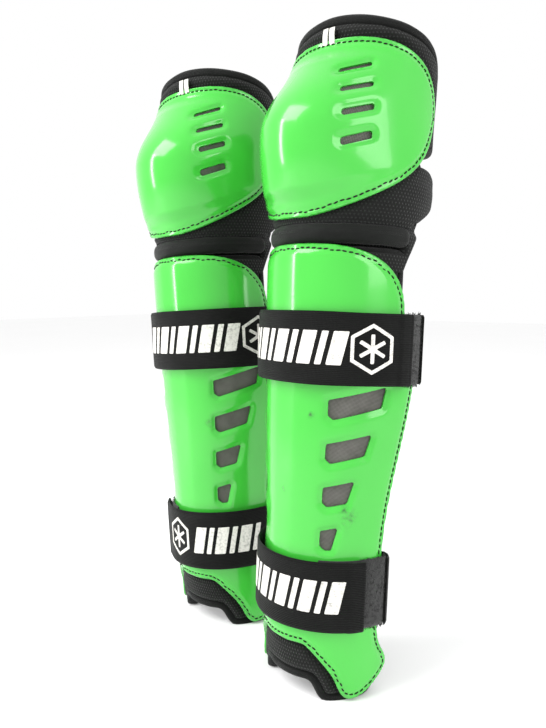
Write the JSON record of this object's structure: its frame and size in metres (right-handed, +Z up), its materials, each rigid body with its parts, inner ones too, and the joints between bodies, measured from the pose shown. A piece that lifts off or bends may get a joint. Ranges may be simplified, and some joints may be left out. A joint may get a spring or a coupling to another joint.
{
  "type": "hockey shin guards",
  "caption": "Pair of ice hockey shin guards: glossy moulded shin shell and domed knee cap on a padded fabric liner, held by wide elastic hook-and-loop straps.",
  "frame": {"origin": "centre of the pair's box, on the floor that the guards stand on", "axes": "+Z up along the shins; -Y is the front of the legs; +X towards the guard named r"},
  "size_m": [0.2828, 0.1422, 0.4856],
  "materials": {
    "green_shell": "glossy moulded polyethylene, fluorescent green",
    "vent_mesh": "fine grey woven mesh behind the vents",
    "dot_mesh": "black knitted mesh with small raised dots",
    "foam": "closed-cell foam, covered on both sides",
    "lining": "brushed black lining fabric",
    "binding": "smooth black folded edge binding",
    "elastic": "fine-ribbed black woven elastic with plain white blocks",
    "pile": "fuzzy black loop pile",
    "hook": "black hook tape",
    "label": "plain white woven tab"
  },
  "bodies": {
    "r_shin": {"r_shin_shell": "green_shell", "r_shin_vent_mesh": "vent_mesh", "r_shin_cover": "dot_mesh", "r_shin_foam": "foam", "r_shin_lining": "lining", "r_shin_binding": "binding", "r_knee_gusset": "dot_mesh", "r_gusset_roll": "binding", "r_upper_strap_front": "elastic", "r_upper_strap_back": "elastic", "r_upper_strap_pile": "pile", "r_lower_strap_front": "elastic", "r_lower_strap_back": "elastic", "r_lower_strap_pile": "pile"},
    "r_knee": {"r_knee_shell": "green_shell", "r_knee_vent_mesh": "vent_mesh", "r_knee_cover": "dot_mesh", "r_knee_foam": "foam", "r_knee_lining": "lining", "r_knee_binding": "binding", "r_knee_cradle": "lining", "r_label": "label"},
    "r_upper_end": {"r_upper_strap_end": "elastic", "r_upper_strap_hook": "hook"},
    "r_lower_end": {"r_lower_strap_end": "elastic", "r_lower_strap_hook": "hook"},
    "l_shin": {"l_shin_shell": "green_shell", "l_shin_vent_mesh": "vent_mesh", "l_shin_cover": "dot_mesh", "l_shin_foam": "foam", "l_shin_lining": "lining", "l_shin_binding": "binding", "l_knee_gusset": "dot_mesh", "l_gusset_roll": "binding", "l_upper_strap_front": "elastic", "l_upper_strap_back": "elastic", "l_upper_strap_pile": "pile", "l_lower_strap_front": "elastic", "l_lower_strap_back": "elastic", "l_lower_strap_pile": "pile"},
    "l_knee": {"l_knee_shell": "green_shell", "l_knee_vent_mesh": "vent_mesh", "l_knee_cover": "dot_mesh", "l_knee_foam": "foam", "l_knee_lining": "lining", "l_knee_binding": "binding", "l_knee_cradle": "lining", "l_label": "label"},
    "l_upper_end": {"l_upper_strap_end": "elastic", "l_upper_strap_hook": "hook"},
    "l_lower_end": {"l_lower_strap_end": "elastic", "l_lower_strap_hook": "hook"}
  },
  "joints": [
    {"name": "pair_apart", "type": "slide", "parent": "r_shin", "child": "l_shin", "axis": [-1, 0, 0], "range_m": [0, 0.15]},
    {"name": "r_knee_flex", "type": "hinge", "parent": "r_shin", "child": "r_knee", "pos_m": [0.07956, 0.02434, 0.38195], "axis": [-0.9976, 0.0698, 0.0044], "range_deg": [0, 40], "deforming": ["r_knee_gusset"]},
    {"name": "r_upper_peel", "type": "hinge", "parent": "r_shin", "child": "r_upper_end", "pos_m": [0.10443, -0.05651, 0.25477], "axis": [-0.008, -0.0519, -0.9986], "range_deg": [0, 100]},
    {"name": "r_lower_peel", "type": "hinge", "parent": "r_shin", "child": "r_lower_end", "pos_m": [0.08016, -0.06958, 0.0814], "axis": [-0.008, -0.0519, -0.9986], "range_deg": [0, 100]},
    {"name": "l_knee_flex", "type": "hinge", "parent": "l_shin", "child": "l_knee", "pos_m": [-0.07831, 0.05204, 0.38212], "axis": [-0.9954, -0.0696, -0.0663], "range_deg": [0, 40], "deforming": ["l_knee_gusset"]},
    {"name": "l_upper_peel", "type": "hinge", "parent": "l_shin", "child": "l_upper_end", "pos_m": [-0.09547, -0.02195, 0.24961], "axis": [-0.0664, -0.0011, 0.9978], "range_deg": [0, 100]},
    {"name": "l_lower_peel", "type": "hinge", "parent": "l_shin", "child": "l_lower_end", "pos_m": [-0.06108, -0.02581, 0.0775], "axis": [-0.0664, -0.0011, 0.9978], "range_deg": [0, 100]}
  ]
}
